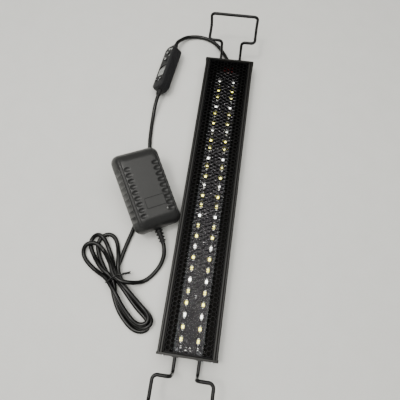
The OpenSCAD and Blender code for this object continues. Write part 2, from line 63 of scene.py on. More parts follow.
LIGHT_ROUTE = [(-0.003, 0.158, 0.005), (-0.0036, 0.1615, 0.0042), (-0.0056, 0.166, 0.0028),
               (-0.009, 0.1715, 0.0021), (-0.0135, 0.1775, 0.0021), (-0.0195, 0.1835, 0.0021),
               (-0.026, 0.1875, 0.0021), (-0.0335, 0.190, 0.0021), (-0.041, 0.1905, 0.0023),
               (-0.0485, 0.189, 0.003), (-0.0545, 0.1855, 0.0045), (-0.059, 0.180, 0.0065),
               (-0.0618, 0.1745, 0.0086), (-0.0629, 0.1688, 0.0097)]
SUPPLY_ROUTE = [(-0.0711, 0.1013, 0.0097), (-0.0718, 0.0955, 0.0088), (-0.0726, 0.089, 0.0064),
                (-0.0732, 0.082, 0.0036), (-0.0733, 0.0745, 0.0023), (-0.0726, 0.0625, 0.0021),
                (-0.071, 0.046, 0.0021), (-0.067, 0.026, 0.0021), (-0.0645, 0.006, 0.0021),
                (-0.065, -0.016, 0.0021), (-0.0675, -0.036, 0.0021), (-0.070, -0.050, 0.0021),
                (-0.0722, -0.060, 0.0021), (-0.0738, -0.069, 0.0021), (-0.075, -0.078, 0.0021)]
ADAPTER_ROUTE = [(-0.0675, -0.0984, 0.0034), (-0.064, -0.098, 0.0026), (-0.056, -0.0972, 0.0021),
                 (-0.0472, -0.0924, 0.0021), (-0.041, -0.0845, 0.0022), (-0.0378, -0.0792, 0.0027),
                 (-0.0358, -0.0735, 0.0038), (-0.035, -0.067, 0.0054), (-0.0358, -0.0615, 0.0069),
                 (-0.0375, -0.0574, 0.008)]

# The hank's own frame: the middle of its tie, the way its lower end points, and across that
TIE = (-0.0767, -0.0953)
ALONG = (0.602, -0.799)
ACROSS = (0.799, 0.602)
# One row for each turn, in mm: where its strand lies across the tie, then the length, half
# width, tip offset and bow of its lower and of its upper lobe
TURNS = [
    dict(down=1.2, low=(55.2, 7.8, 5.6, -4.8), up=-5.2, high=(43.0, 9.8, 8.4, 0.3)),
    dict(down=5, low=(53.8, 8.0, 9.0, -3.0), up=-1.6, high=(46.7, 7.8, 0.2, -1.2)),
    dict(down=3, low=(50.6, 7.0, 8.4, -1.8), up=-5.8, high=(42.1, 9.4, -9.0, -1.7)),
]
LAST_STRAND = 0.8  # where the last strand leaves the tie
STRAIGHT = 3  # half the distance that a strand runs straight through the tie
HUMP_RADIUS = 0.012  # of the arch in which a strand passes over another
ROUNDING = 0.003  # run of lead over which the arches are smoothed
END_RUN = 0.006  # run of lead at each end that keeps its own height
TIE_WIRE = 1.1  # thickness of the tie in mm
TIE_TAIL = (2.8, 7.4, 1.8)  # its twisted tail, in mm along the hank, across it and up
TIE_TWISTS = 2.6

# ---- places and sizes of the part, in mm ----

LED_Z = 10.6  # top of the circuit board
LED_PITCH = 10.1
LED_COLUMNS = 27
FIRST_LED_Y = -138
LED_X = 7.5
LED_SIZE = (2.8, 3.5)
BOARD_Y0 = -149.5
RIM_TOP = 15.5  # just below the housing's top faces
EDGE = 0.3  # rounding of the edges of the end plates and the gland

# The frames of the controller and the adapter are placed in metres
CONTROLLER = (Matrix.Translation((-0.067, 0.135, 0.0097)) @ Matrix.Rotation(math.radians(-7), 4, "Z")
              @ Matrix.Rotation(math.radians(-43), 4, "Y"))
CONTROLLER_SIZE = (16.8, 57.6, 12)
WINDOW = (0, -6, 10.6, 13.4)
BUTTONS = {"power": (0, 9.5, 4.4), "mode": (0, 18, 4.4), "minus": (-3.4, -17.5, 3.4),
           "plus": (3.4, -17.5, 3.4)}

ADAPTER = (Matrix.Translation((-0.060, -0.013, 0.0235)) @ Matrix.Rotation(math.radians(29), 4, "Z")
           @ Matrix.Rotation(math.radians(14), 4, "X") @ Matrix.Rotation(math.radians(16), 4, "Y"))
ADAPTER_SIZE = (45.6, 77)
ADAPTER_CORNER = 7.5
ADAPTER_TOP = 13.5  # height of its flat face over the seam
# Rows from the seam to the face: height, then how far in from the sides and from the ends
UPPER_PROFILE = [(0.12, 0.35, 0.35), (0.5, 0, 0), (2.5, 0.3, 0.4), (5, 0.9, 1.2), (7.5, 1.7, 2.4),
                 (9.5, 2.5, 3.9), (10.8, 3.2, 5.4), (11.9, 4.1, 7.2), (12.7, 5.2, 8.8),
                 (13.2, 6.5, 10.1), (13.42, 8, 11.2), (13.5, 10, 12.8), (13.5, 15, 17)]
LOWER_PROFILE = [(-0.12, 0.35, 0.35), (-0.5, 0, 0), (-3, 0.4, 0.5), (-6, 0.9, 1.3), (-9, 1.6, 2.4),
                 (-10.6, 2.2, 3.3), (-11.5, 3.0, 4.4), (-11.95, 4.2, 6), (-12, 6, 8), (-12, 10, 13)]
FLUTES = 9
FLUTE_PITCH = 5.6
FLUTE_Y = -1.8  # middle of the row of flutes
LABEL = (1.4, -14.2, 18.4, 9.6)
INDICATOR = (9.9, -23.4, 1.0)  # place and radius of its lens
SHELL = 1.4  # thickness of the case


# ---- camera and light ----

def make_camera():
    """Looks down at the light from above its near end, as in the photo."""
    data = bpy.data.cameras.new("camera")
    data.sensor_width = 36
    data.lens = 33.3
    cam = linked("camera", data)
    cam.location = (0.01411, -0.12726, 0.34688)
    cam.rotation_euler = [math.radians(a) for a in (19.324, 1.139, 8.216)]
    bpy.context.scene.camera = cam


def area_light(name, place, target, size, power, colour):
    """Round lamp at a place, turned to face the target."""
    data = bpy.data.lights.new(name, "AREA")
    data.shape = "DISK"
    data.size = size
    data.energy = power
    data.color = colour
    lamp = linked(name, data)
    lamp.location = place
    lamp.rotation_mode = "QUATERNION"
    lamp.rotation_quaternion = (Vector(target) - Vector(place)).to_track_quat("-Z", "Y")


def make_studio():
    """Soft light from straight above, as in the photo, a small lamp for glints, and the table."""
    world = bpy.data.worlds.new("studio")
    world.use_nodes = True
    world.node_tree.nodes["Background"].inputs["Color"].default_value = (0.96, 0.98, 1.0, 1)
    world.node_tree.nodes["Background"].inputs["Strength"].default_value = 0.20
    bpy.context.scene.world = world
    area_light("ceiling", (-0.12, -0.02, 0.8), (-0.12, -0.02, 0), 1.35, 13.0, (1.0, 0.99, 0.945))
    area_light("lamp", (-0.34, -0.12, 1.2), (-0.03, 0, 0), 0.25, 4.5, (1.0, 0.97, 0.92))
    data = bpy.data.meshes.new("floor")
    data.from_pydata([(-1.5, -1.5, 0), (1.5, -1.5, 0), (1.5, 1.5, 0), (-1.5, 1.5, 0)], [],
                     [(0, 1, 2, 3)])
    floor = linked("floor", data)
    floor.location.z = -0.05 * MM
    floor.data.materials.append(grained("floor_paper", (0.66, 0.66, 0.635), (0.70, 0.70, 0.675),
                                        rough=(0.6, 0.7), grain=0.0016, bump=0.03))


# ---- small helpers ----

def linked(name, data):
    """New object in the scene with this data."""
    obj = bpy.data.objects.new(name, data)
    bpy.context.scene.collection.objects.link(obj)
    return obj


def to_data(name, mesh, smooth=True):
    """Turns a bmesh into mesh data and frees it."""
    data = bpy.data.meshes.new(name)
    mesh.to_mesh(data)
    mesh.free()
    for face in data.polygons:
        face.use_smooth = smooth
    return data


def to_object(name, mesh, matrix=None, sharp=35):
    """Turns a bmesh drawn in mm into an object in metres, placed by the matrix."""
    bmesh.ops.recalc_face_normals(mesh, faces=mesh.faces[:])
    mesh.transform((matrix or Matrix.Identity(4)) @ Matrix.Scale(MM, 4))
    data = to_data(name, mesh)
    data.set_sharp_from_angle(angle=math.radians(sharp))
    return linked(name, data)


def finish_piece(obj, body, materials=(), replaced=()):
    """Parents a piece to the empty of the body it rides on, gives it its materials and hides the CAD
    nodes it stands for.
    """
    for material in materials:
        obj.data.materials.append(material)
    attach(obj, body)
    if replaced:
        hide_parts(*replaced)
    return obj


def modify(obj, kind, **settings):
    mod = obj.modifiers.new(kind.lower(), kind)
    for key, value in settings.items():
        setattr(mod, key, value)


def skin(mesh, rings, first_cap=True, last_cap=True, material=0):
    """Joins rings of points, all with the same count, into one surface."""
    loops = [[mesh.verts.new(p) for p in ring] for ring in rings]
    count = len(loops[0])
    faces = [mesh.faces.new((low[a], low[(a + 1) % count], high[(a + 1) % count], high[a]))
             for low, high in zip(loops, loops[1:]) for a in range(count)]
    if first_cap:
        faces.append(mesh.faces.new(loops[0][::-1]))
    if last_cap:
        faces.append(mesh.faces.new(loops[-1]))
    for face in faces:
        face.material_index = material
    return loops


def circle(x, y, radius, z, count):
    return [(x + radius * math.cos(2 * math.pi * k / count),
             y + radius * math.sin(2 * math.pi * k / count), z) for k in range(count)]


def rounded_ring(width, length, radius, z, middle=(0, 0), counts=(1, 1, 6)):
    """Rounded rectangle; counts are the steps along a side, along an end and round a corner."""
    side, end, corner = counts
    x, y = width / 2 - radius, length / 2 - radius
    centres = [(x, y), (-x, y), (-x, -y), (x, -y)]
    points = []
    for q, (cx, cy) in enumerate(centres):
        for k in range(corner + 1):
            a = math.pi / 2 * (q + k / corner)
            points.append((cx + radius * math.cos(a), cy + radius * math.sin(a)))
        nx, ny = centres[(q + 1) % 4]
        a = math.pi / 2 * (q + 1)
        steps = side if q % 2 else end
        for k in range(1, steps):
            f = k / steps
            points.append((cx + (nx - cx) * f + radius * math.cos(a),
                           cy + (ny - cy) * f + radius * math.sin(a)))
    return [(px + middle[0], py + middle[1], z) for px, py in points]


def ribbons(mesh, lines, width, z, material=1):
    """Flat printed strokes, each line a list of points in the plane."""
    for line in lines:
        pairs = []
        for i, (x, y) in enumerate(line):
            ahead, behind = line[min(i + 1, len(line) - 1)], line[max(i - 1, 0)]
            turn = Vector((behind[1] - ahead[1], ahead[0] - behind[0])).normalized() * width / 2
            pairs.append((mesh.verts.new((x + turn.x, y + turn.y, z)),
                          mesh.verts.new((x - turn.x, y - turn.y, z))))
        for (a, b), (c, d) in zip(pairs, pairs[1:]):
            mesh.faces.new((a, b, d, c)).material_index = material


def arc(x, y, radius, start=0, end=360, steps=20):
    return [(x + radius * math.cos(math.radians(start + (end - start) * k / steps)),
             y + radius * math.sin(math.radians(start + (end - start) * k / steps)))
            for k in range(steps + 1)]


def icon(kind, x, y, size):
    """Strokes of a generic sign: power, sun, minus or plus."""
    bar = [(x - size, y), (x + size, y)]
    if kind == "minus":
        return [bar]
    if kind == "plus":
        return [bar, [(x, y - size), (x, y + size)]]
    if kind == "power":
        return [arc(x, y, size, 120, 420), [(x, y + size * 0.3), (x, y + size * 1.25)]]
    rays = [[(x + r * size * math.cos(a), y + r * size * math.sin(a)) for r in (0.75, 1.2)]
            for a in (math.pi / 4 * k for k in range(8))]
    return [arc(x, y, size * 0.45), *rays]


# ---- materials ----

def shader(name):
    mat = bpy.data.materials.new(name)
    mat.use_nodes = True
    tree = mat.node_tree
    return mat, tree, tree.nodes["Principled BSDF"]


def node(tree, kind, **values):
    made = tree.nodes.new(kind)
    for key, value in values.items():
        if key in made.inputs:
            made.inputs[key].default_value = value
        else:
            setattr(made, key, value)
    return made


def calculate(tree, operation, *values):
    """Result of one operation; each value is a number or what another node puts out."""
    made = node(tree, "ShaderNodeMath", operation=operation)
    for socket, value in zip(made.inputs, values):
        if isinstance(value, (int, float)):
            socket.default_value = value
        else:
            tree.links.new(value, socket)
    return made.outputs[0]


def coordinate(tree, axis):
    """Where the shaded point is along an axis of its object, in metres."""
    place = tree.nodes.new("ShaderNodeTexCoord")
    parts = tree.nodes.new("ShaderNodeSeparateXYZ")
    tree.links.new(place.outputs["Object"], parts.inputs["Vector"])
    return parts.outputs[axis]


def ramp(tree, source, stops):
    """Colour for each value of the source, from stops of a place and a colour."""
    made = tree.nodes.new("ShaderNodeValToRGB")
    spare = made.color_ramp.elements
    while len(spare) < len(stops):
        spare.new(0.5)
    for element, (place, colour) in zip(spare, stops):
        element.position = place
        element.color = (*colour, 1)
    tree.links.new(source, made.inputs["Fac"])
    return made.outputs["Color"]


def spread(tree, source, low, high):
    """The source, from 0 to 1, as a number from low to high."""
    made = node(tree, "ShaderNodeMapRange")
    made.inputs["To Min"].default_value = low
    made.inputs["To Max"].default_value = high
    tree.links.new(source, made.inputs["Value"])
    return made.outputs["Result"]


def noise(tree, size, stretch=(1, 1, 1), detail=3.0):
    """Noise with grains of about that size in metres; stretch makes it longer along an axis."""
    place = tree.nodes.new("ShaderNodeTexCoord")
    mapping = tree.nodes.new("ShaderNodeMapping")
    mapping.inputs["Scale"].default_value = [1 / s for s in stretch]
    tree.links.new(place.outputs["Object"], mapping.inputs["Vector"])
    made = node(tree, "ShaderNodeTexNoise", Scale=1 / size, Detail=detail, Roughness=0.6)
    tree.links.new(mapping.outputs["Vector"], made.inputs["Vector"])
    return made.outputs["Fac"]


def add_bump(tree, bsdf, height, strength, distance):
    made = node(tree, "ShaderNodeBump", Strength=strength, Distance=distance)
    tree.links.new(height, made.inputs["Height"])
    tree.links.new(made.outputs["Normal"], bsdf.inputs["Normal"])


def grained(name, dark, light, rough=(0.4, 0.5), grain=0.0004, bump=0.15, stretch=(1, 1, 1),
            blotch=0.02, metal=0.0, coat=0.0, coat_rough=0.1, specular=0.5):
    """Moulded, brushed or painted surface: fine grain, and a slow change of tone and gloss."""
    mat, tree, bsdf = shader(name)
    bsdf.inputs["Metallic"].default_value = metal
    bsdf.inputs["Coat Weight"].default_value = coat
    bsdf.inputs["Coat Roughness"].default_value = coat_rough
    bsdf.inputs["Specular IOR Level"].default_value = specular
    fine = noise(tree, grain, stretch)
    slow = noise(tree, blotch, stretch, detail=4.0)
    both = calculate(tree, "MULTIPLY_ADD", fine, 0.5, calculate(tree, "MULTIPLY", slow, 0.5))
    tree.links.new(ramp(tree, both, [(0.35, dark), (0.65, light)]), bsdf.inputs["Base Color"])
    tree.links.new(spread(tree, slow, *rough), bsdf.inputs["Roughness"])
    add_bump(tree, bsdf, fine, bump, grain * 0.4)
    return mat


def gloss_above(mat, height, below, above):
    """Keeps the gloss on the surfaces above a height; a drawn section is matt further down."""
    tree = mat.node_tree
    top = calculate(tree, "GREATER_THAN", coordinate(tree, "Z"), height)
    gloss = calculate(tree, "MULTIPLY_ADD", top, above - below, below)
    tree.links.new(gloss, tree.nodes["Principled BSDF"].inputs["Specular IOR Level"])
    return mat


def clear_acrylic():
    """Clear sheet that lets lamps through, with faint smears in its polish."""
    mat, tree, bsdf = shader("clear_acrylic")
    bsdf.inputs["Transmission Weight"].default_value = 1.0
    bsdf.inputs["IOR"].default_value = 1.08
    bsdf.inputs["Specular IOR Level"].default_value = 0.15
    bsdf.inputs["Base Color"].default_value = (0.95, 0.96, 0.97, 1)
    smears = noise(tree, 0.004, (1, 6, 1))
    tree.links.new(spread(tree, smears, 0.0, 0.02), bsdf.inputs["Roughness"])
    path = tree.nodes.new("ShaderNodeLightPath")
    through = node(tree, "ShaderNodeBsdfTransparent", Color=(0.92, 0.93, 0.94, 1))
    mixed = tree.nodes.new("ShaderNodeMixShader")
    tree.links.new(path.outputs["Is Shadow Ray"], mixed.inputs["Fac"])
    tree.links.new(bsdf.outputs["BSDF"], mixed.inputs[1])
    tree.links.new(through.outputs["BSDF"], mixed.inputs[2])
    tree.links.new(mixed.outputs["Shader"], tree.nodes["Material Output"].inputs["Surface"])
    return mat


def led_fill(name, middle, rim, painted_glow):
    """Silicone fill of an LED: pale over the chip, deeper at its rim, and with a painted glow, though
    the LED is not lit.
    """
    mat, tree, bsdf = shader(name)
    edge = node(tree, "ShaderNodeAttribute", attribute_name="rim")
    fine = noise(tree, 0.0003)
    shift = calculate(tree, "MULTIPLY_ADD", fine, 0.3, edge.outputs["Fac"])
    colour = ramp(tree, shift, [(0.35, middle), (1.0, rim)])
    tree.links.new(colour, bsdf.inputs["Base Color"])
    # painted glow: the fill's own colours are also emitted, though the LED is unlit
    tree.links.new(colour, bsdf.inputs["Emission Color"])
    bsdf.inputs["Emission Strength"].default_value = painted_glow
    bsdf.inputs["Roughness"].default_value = 0.25
    bsdf.inputs["Coat Weight"].default_value = 0.6
    bsdf.inputs["Coat Roughness"].default_value = 0.06
    add_bump(tree, bsdf, fine, 0.08, 0.0001)
    return mat


def board_mask():
    """Dark solder mask over copper: a brighter band at each edge, and brick-like copper areas."""
    mat, tree, bsdf = shader("board_mask")
    bsdf.inputs["Specular IOR Level"].default_value = 0.1
    inner_edge = 0.0112  # of the bands, from the middle of the board
    across = calculate(tree, "ABSOLUTE", coordinate(tree, "X"))
    band = calculate(tree, "GREATER_THAN", across, inner_edge)
    place = tree.nodes.new("ShaderNodeTexCoord")
    brick = node(tree, "ShaderNodeTexBrick", Scale=1.0, offset=0.5)
    brick.inputs["Color1"].default_value = (0.2, 0.2, 0.2, 1)
    brick.inputs["Color2"].default_value = (0.35, 0.35, 0.35, 1)
    brick.inputs["Mortar"].default_value = (0, 0, 0, 1)
    brick.inputs["Mortar Size"].default_value = 0.00025
    brick.inputs["Brick Width"].default_value = 0.0101
    brick.inputs["Row Height"].default_value = 0.0062
    turn = node(tree, "ShaderNodeMapping")
    turn.inputs["Rotation"].default_value = (0, 0, math.pi / 2)
    tree.links.new(place.outputs["Object"], turn.inputs["Vector"])
    tree.links.new(turn.outputs["Vector"], brick.inputs["Vector"])
    fine = noise(tree, 0.0012)
    tone = calculate(tree, "ADD", brick.outputs["Color"], fine)
    body = ramp(tree, tone, [(0.3, (0.024, 0.022, 0.023)), (0.6, (0.054, 0.048, 0.054)),
                             (0.95, (0.078, 0.074, 0.074))])
    mix = node(tree, "ShaderNodeMix", data_type="RGBA")
    tree.links.new(band, mix.inputs["Factor"])
    tree.links.new(body, mix.inputs[6])
    mix.inputs[7].default_value = (0.085, 0.088, 0.09, 1)
    tree.links.new(mix.outputs[2], bsdf.inputs["Base Color"])
    tree.links.new(spread(tree, fine, 0.35, 0.5), bsdf.inputs["Roughness"])
    add_bump(tree, bsdf, brick.outputs["Color"], 0.4, 0.00006)
    return mat


# ---- leads ----

def smooth_curve(points, step):
    """Centripetal Catmull-Rom curve through the points, as points an even step apart."""
    p = np.array(points)
    p = np.vstack([2 * p[0] - p[1], p, 2 * p[-1] - p[-2]])
    out = []
    for i in range(1, len(p) - 2):
        p0, p1, p2, p3 = p[i - 1:i + 3]
        t1 = np.linalg.norm(p1 - p0) ** 0.5
        t2 = t1 + np.linalg.norm(p2 - p1) ** 0.5
        t3 = t2 + np.linalg.norm(p3 - p2) ** 0.5
        for t in np.linspace(t1, t2, 24, endpoint=False):
            a1 = p0 * (t1 - t) / t1 + p1 * t / t1
            a2 = p1 * (t2 - t) / (t2 - t1) + p2 * (t - t1) / (t2 - t1)
            a3 = p2 * (t3 - t) / (t3 - t2) + p3 * (t - t2) / (t3 - t2)
            b1 = a1 * (t2 - t) / t2 + a2 * t / t2
            b2 = a2 * (t3 - t) / (t3 - t1) + a3 * (t - t1) / (t3 - t1)
            out.append(b1 * (t2 - t) / (t2 - t1) + b2 * (t - t1) / (t2 - t1))
    out = np.array([*out, p[-2]])
    run = np.r_[0, np.cumsum(np.linalg.norm(np.diff(out, axis=0), axis=1))]
    even = np.linspace(0, run[-1], int(run[-1] / step) + 1)
    return np.array([np.interp(even, run, out[:, k]) for k in range(3)]).T


def in_tie(along, across):
    """Point on the table from its place in the hank's own frame, given in mm."""
    return (TIE[0] + (along * ALONG[0] + across * ACROSS[0]) * MM,
            TIE[1] + (along * ALONG[1] + across * ACROSS[1]) * MM, LEAD_Z)


def lobe(way, length, half, tip, bow):
    """One lobe: out on one side, round a half-circle and back on the other; clockwise."""
    run = length - half
    side = [(run * f, half * math.sin(math.pi / 2 * f ** 0.6)) for f in (0.3, 0.5, 0.75)]
    side += [(run + half * math.sin(a), half * math.cos(a)) for a in (0, math.pi / 6, math.pi / 3)]
    outline = side + [(length, 0)] + [(a, -w) for a, w in reversed(side)]
    return [in_tie(way * a, tip * a / length + 4 * bow * a / length * (1 - a / length) + way * w)
            for a, w in outline]


def hank_points():
    """Points of the hank's turns in order, each turn a lower and an upper lobe."""
    points = []
    for turn in TURNS:
        points += [in_tie(-STRAIGHT, turn["down"]), in_tie(STRAIGHT, turn["down"])]
        points += lobe(1, *turn["low"])
        points += [in_tie(STRAIGHT, turn["up"]), in_tie(-STRAIGHT, turn["up"])]
        points += lobe(-1, *turn["high"])
    return points + [in_tie(-STRAIGHT, LAST_STRAND)]


def laid(path, thick):
    """The path laid down in order: each stretch rests on the table or on what it crosses."""
    path = path.copy()
    count = len(path)
    x, y, rest = path.T.copy()
    apart = np.hypot(x[:, None] - x[None, :], y[:, None] - y[None, :])
    earlier = np.tril(np.ones((count, count), bool), -int(3 * thick / STEP)) & (apart < thick)
    rise = np.sqrt(np.maximum(thick ** 2 - apart ** 2, 0))
    hold = np.clip((thick - apart) / (0.3 * thick), 0, 1)
    hold = hold * hold * (3 - 2 * hold)
    run = np.arange(count) * STEP
    gap = run[:, None] - run[None, :]
    hump = gap ** 2 / (2 * HUMP_RADIUS)
    near = np.exp(-(gap / ROUNDING) ** 2 / 2)
    near /= near.sum(axis=1, keepdims=True)
    ends = np.clip(np.minimum(run, run[-1] - run) / END_RUN, 0, 1)
    for _ in range(10):
        over = rest[:, None] + hold * (path[None, :, 2] + rise - rest[:, None])
        lowest = np.maximum(rest, np.where(earlier, over, 0).max(axis=1))
        arched = (lowest[None, :] - hump).max(axis=1)
        path[:, 2] = rest + ends * np.maximum(near @ np.maximum(arched, rest) - rest, 0)
    return path


def supply_path():
    """Centreline of the supply lead, with the corners of its route relaxed."""
    path = smooth_curve(SUPPLY_ROUTE + hank_points() + ADAPTER_ROUTE, STEP)
    for _ in range(16):
        path[1:-1, :2] = (path[:-2, :2] + 2 * path[1:-1, :2] + path[2:, :2]) / 4
    air = 1.02  # keeps crossing strands just apart
    return laid(path, LEAD_D * air)


def round_curve(name, path, diameter):
    """Round rod or lead along the points, with closed ends."""
    data = bpy.data.curves.new(name, "CURVE")
    data.dimensions = "3D"
    spline = data.splines.new("POLY")
    spline.points.add(len(path) - 1)
    spline.points.foreach_set("co", [v for p in path for v in (*p, 1)])
    spline.use_smooth = True
    data.bevel_depth = diameter / 2
    data.bevel_resolution = 5
    data.use_fill_caps = True
    return linked(name, data)


def make_leads(material):
    """The two leads, each with its centreline."""
    made = []
    for name, path, replaced in (
            ("light_cord", smooth_curve(LIGHT_ROUTE, STEP), ["light_lead"]),
            ("supply_cord", supply_path(), ["supply_lead", "hank", "adapter_lead"])):
        cord = finish_piece(round_curve(name, path, LEAD_D), "root", [material],
                            replaced)
        made.append((cord, path))
    return made


def tie_ring(path):
    """Outline of the bundle of strands where the tie goes round it, in mm across it and up."""
    place = (path[:, :2] - TIE) @ np.array([ALONG, ACROSS]).T / MM
    strands = [(across, z / MM) for (along, across), z in zip(place, path[:, 2])
               if abs(along) < 1 and abs(across) < 12]
    reach = (LEAD_D / MM + TIE_WIRE) / 2
    points = sorted((across + reach * math.cos(a), max(z + reach * math.sin(a), TIE_WIRE / 2))
                    for across, z in strands for a in (math.pi / 12 * k for k in range(24)))

    def half_hull(ordered):
        hull = []
        for q in ordered:
            while len(hull) > 1 and ((hull[-1][0] - hull[-2][0]) * (q[1] - hull[-2][1])
                                     <= (hull[-1][1] - hull[-2][1]) * (q[0] - hull[-2][0])):
                hull.pop()
            hull.append(q)
        return hull[:-1]
    return half_hull(points) + half_hull(points[::-1])


def make_tie(path, material):
    """Wire tie: pulled tight round the hank, its ends twisted together at the right."""
    ring = tie_ring(path)
    right = max(range(len(ring)), key=lambda k: ring[k][0])
    ring = ring[right:] + ring[:right] + [ring[right]]

    def world(along, across, z):
        return Vector((*in_tie(along, across)[:2], z * MM))
    start = world(0, *ring[0])
    tail = world(TIE_TAIL[0], ring[0][0] + TIE_TAIL[1], ring[0][1] + TIE_TAIL[2]) - start
    flat = tail.normalized().cross(Vector((0, 0, 1))).normalized()
    up = flat.cross(tail.normalized())
    slant = 0.3  # half of how far the ring leans along the hank
    loop = [world(slant + slant * math.sin(2 * math.pi * k / (len(ring) - 1)), across, z)
            for k, (across, z) in enumerate(ring)]
    steps, twist_radius, thinned = 36, 0.62 * MM, 0.95
    strands = []
    for number, line in enumerate(([], loop)):
        for k in range(steps + 1):
            f = k / steps
            turn = 2 * math.pi * TIE_TWISTS * f + math.pi * number
            # the twist grows from the ring and opens at its tip
            spin = twist_radius * min(1, f * 6) * (1 + 2.2 * max(0, f - 0.8))
            line.append(start + tail * f + spin * (math.cos(turn) * flat + math.sin(turn) * up))
        strands.append(round_curve(f"tie_{number}", line, TIE_WIRE * MM * thinned))
    finish_piece(join_curves("wire_tie", strands), "root", [material], ["twist_tie"])


def join_curves(name, curves):
    """One mesh object made from several curves."""
    mesh = bmesh.new()
    for curve in curves:
        part = bpy.data.meshes.new_from_object(curve)
        mesh.from_mesh(part)
        bpy.data.meshes.remove(part)
        bpy.data.objects.remove(curve)
    return linked(name, to_data(name, mesh))


# ---- louver ----

def make_louver(material):
    """Fine honeycomb of thin walls, cut off at the trough's sides and edged all round."""
    low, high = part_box("louver")
    pitch, wall, edge = 4.0 * MM, 0.32 * MM, 0.5 * MM
    step_x = pitch * math.sqrt(3) / 2
    columns = int(high.x / step_x) + 1
    rows = int(high.y / pitch) + 1
    mesh = bmesh.new()
    hexagon = [(math.cos(math.radians(60 * k)), math.sin(math.radians(60 * k))) for k in range(6)]
    outer, inner = pitch / math.sqrt(3), (pitch - wall) / math.sqrt(3)
    for i in range(-columns, columns + 1):
        for k in range(-rows, rows + 1):
            x, y = i * step_x, (k + (i % 2) / 2) * pitch
            rings = [[mesh.verts.new((x + r * c, y + r * s, z)) for c, s in hexagon]
                     for r, z in ((outer, high.z), (inner, high.z), (inner, low.z), (outer, low.z))]
            for ring, following in zip(rings, rings[1:]):
                for a in range(6):
                    b = (a + 1) % 6
                    mesh.faces.new((ring[a], ring[b], following[b], following[a]))
    bmesh.ops.remove_doubles(mesh, verts=mesh.verts, dist=0.02 * MM)
    rng = random.Random(7)
    for vert in mesh.verts:
        vert.co.x += rng.uniform(-0.05, 0.05) * MM
        vert.co.y += rng.uniform(-0.05, 0.05) * MM
    for normal in ((1, 0, 0), (-1, 0, 0), (0, 1, 0), (0, -1, 0)):
        reach = Vector(normal) * (high.x if normal[0] else high.y)
        cut = bmesh.ops.bisect_plane(mesh, geom=mesh.verts[:] + mesh.edges[:] + mesh.faces[:],
                                     plane_co=reach * 0.995, plane_no=normal, clear_outer=True)
        edges = [e for e in cut["geom_cut"] if isinstance(e, bmesh.types.BMEdge)]
        bmesh.ops.holes_fill(mesh, edges=edges, sides=0)
    for x0, x1, y0, y1 in ((low.x, low.x + edge, low.y, high.y),
                           (high.x - edge, high.x, low.y, high.y),
                           (low.x, high.x, low.y, low.y + edge),
                           (low.x, high.x, high.y - edge, high.y)):
        corners = bmesh.ops.create_cube(mesh, size=1)["verts"]
        for vert in corners:
            vert.co = Vector((x0 if vert.co.x < 0 else x1, y0 if vert.co.y < 0 else y1,
                              low.z if vert.co.z < 0 else high.z))
    bmesh.ops.recalc_face_normals(mesh, faces=mesh.faces[:])
    name = "louver_honeycomb"
    finish_piece(linked(name, to_data(name, mesh, smooth=False)), "root",
                 [material], ["louver"])


# ---- light board ----

def led_places(white):
    """Middles of the LEDs in mm: every third pair is white."""
    return [(side * LED_X, FIRST_LED_Y + k * LED_PITCH) for k in range(LED_COLUMNS)
            if (k % 3 == 2) == white for side in (-1, 1)]


def make_domes(name, places, material, replaced):
    """Domed silicone fill in each LED's cup, with how near each point is to the rim."""
    mesh = bmesh.new()
    rim = mesh.verts.layers.float.new("rim")
    walls = 0.78  # both walls of the cup together
    width, length = (s - walls for s in LED_SIZE)
    for x, y in places:
        before = None
        for f, z in ((1, 0.41), (0.97, 0.5), (0.86, 0.6), (0.66, 0.68), (0.4, 0.73)):
            ring = rounded_ring(width * f, length * f, 0.55 * f, LED_Z + z, (x, y), (1, 1, 3))
            loop = [mesh.verts.new(p) for p in ring]
            for vert in loop:
                vert[rim] = f
            if before:
                for a in range(len(loop)):
                    b = (a + 1) % len(loop)
                    mesh.faces.new((before[a], before[b], loop[b], loop[a]))
            before = loop
        top = mesh.verts.new((x, y, LED_Z + 0.75))
        for a in range(len(before)):
            mesh.faces.new((before[a], before[(a + 1) % len(before)], top))
    finish_piece(to_object(name, mesh), "root", [material], [replaced])


def make_solder_pads(material):
    """Solder at both ends of each LED, mounded a little differently on each pad."""
    mesh = bmesh.new()
    rng = random.Random(3)
    for x, y in led_places(False) + led_places(True):
        for side in (-1, 1):
            width, length = rng.uniform(1.2, 1.6), rng.uniform(0.9, 1.2)
            height = rng.uniform(0.18, 0.3)
            middle = (x + rng.uniform(-0.1, 0.1), y + side * (LED_SIZE[1] / 2 + 0.75))
            skin(mesh, [rounded_ring(width * f, length * f, 0.42 * f, LED_Z + height * h, middle,
                                     (1, 1, 3))
                        for f, h in ((1, 0), (0.9, 0.6), (0.65, 0.9), (0.3, 1))], first_cap=False)
    finish_piece(to_object("led_solder", mesh), "root", [material])


def make_chips(body, metal):
    """Chip resistors down the middle of the board and small parts at its near end."""
    mesh = bmesh.new()
    places = [(0, FIRST_LED_Y + (3.6 + 4.8 * k) * LED_PITCH, 1.4, 2.2, 0.5) for k in range(5)]
    places += [(x, BOARD_Y0 + 5.5, 1.2, 2.0, 0.5) for x in (-6.9, 7.8)]
    places += [(x, BOARD_Y0 + 4.4, 1.6, 2.8, 0.7) for x in (-2.2, 1.6)]
    for x, y, width, length, height in places:
        cap = 0.22 * length
        for start, end, grown, kind in ((cap, length - cap, 0, 0), (0, cap, 0.03, 1),
                                        (length - cap, length, 0.03, 1)):
            middle = (x, y - length / 2 + (start + end) / 2)
            size = (width + 2 * grown, end - start + grown)
            skin(mesh, [rounded_ring(size[0] - s, size[1] - s, 0.12, LED_Z + z, middle, (1, 1, 2))
                        for s, z in ((0, 0), (0, height - 0.12), (0.16, height + grown))],
                 material=kind)
    finish_piece(to_object("board_chips", mesh), "root", [body, metal],
                 ["chip_resistors", "board_parts"])


# ---- controller ----

